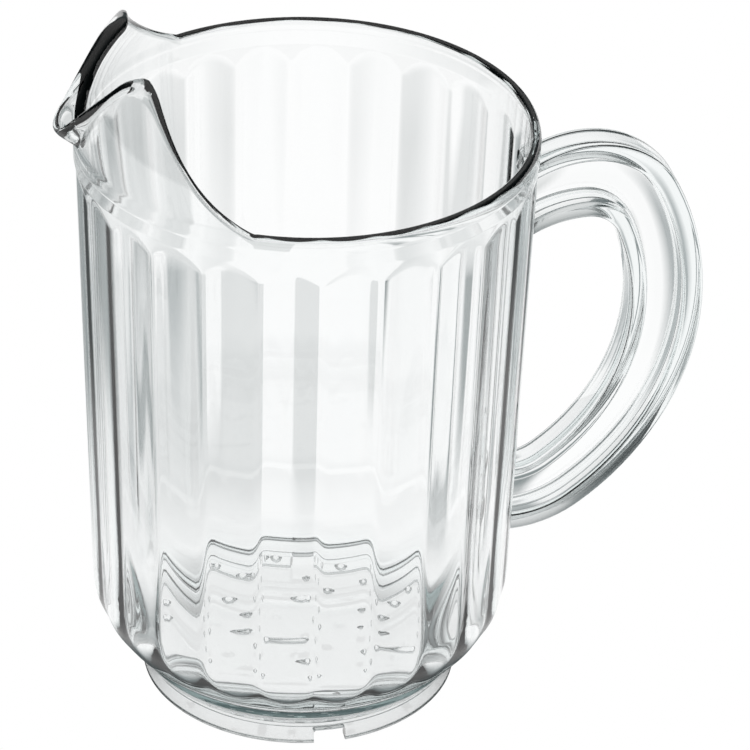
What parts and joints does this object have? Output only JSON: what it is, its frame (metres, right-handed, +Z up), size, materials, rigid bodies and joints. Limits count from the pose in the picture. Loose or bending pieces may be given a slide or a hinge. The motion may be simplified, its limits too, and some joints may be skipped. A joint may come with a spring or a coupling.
{
  "type": "beer pitcher",
  "caption": "Clear plastic pitcher with a reeded barrel, a hooded V spout, a notched foot ring and an I section handle, for pouring beer and other drinks.",
  "frame": {"origin": "in the plane that the foot ring stands on, under the middle of the length from beak to handle", "axes": "+Z up along the barrel's axis, +X towards the handle, so the spout points to -X"},
  "size_m": [0.1922, 0.133, 0.211],
  "materials": {
    "clear_plastic": "clear, polished"
  },
  "bodies": {
    "root": {"fluted_barrel": "clear_plastic", "rim_band": "clear_plastic", "rim_lip": "clear_plastic", "left_cheek": "clear_plastic", "right_cheek": "clear_plastic", "pour_beak": "clear_plastic", "base_shoulder": "clear_plastic", "base_floor": "clear_plastic", "foot_ring": "clear_plastic", "handle_outer_flange": "clear_plastic", "handle_inner_flange": "clear_plastic", "handle_web": "clear_plastic"}
  },
  "joints": []
}
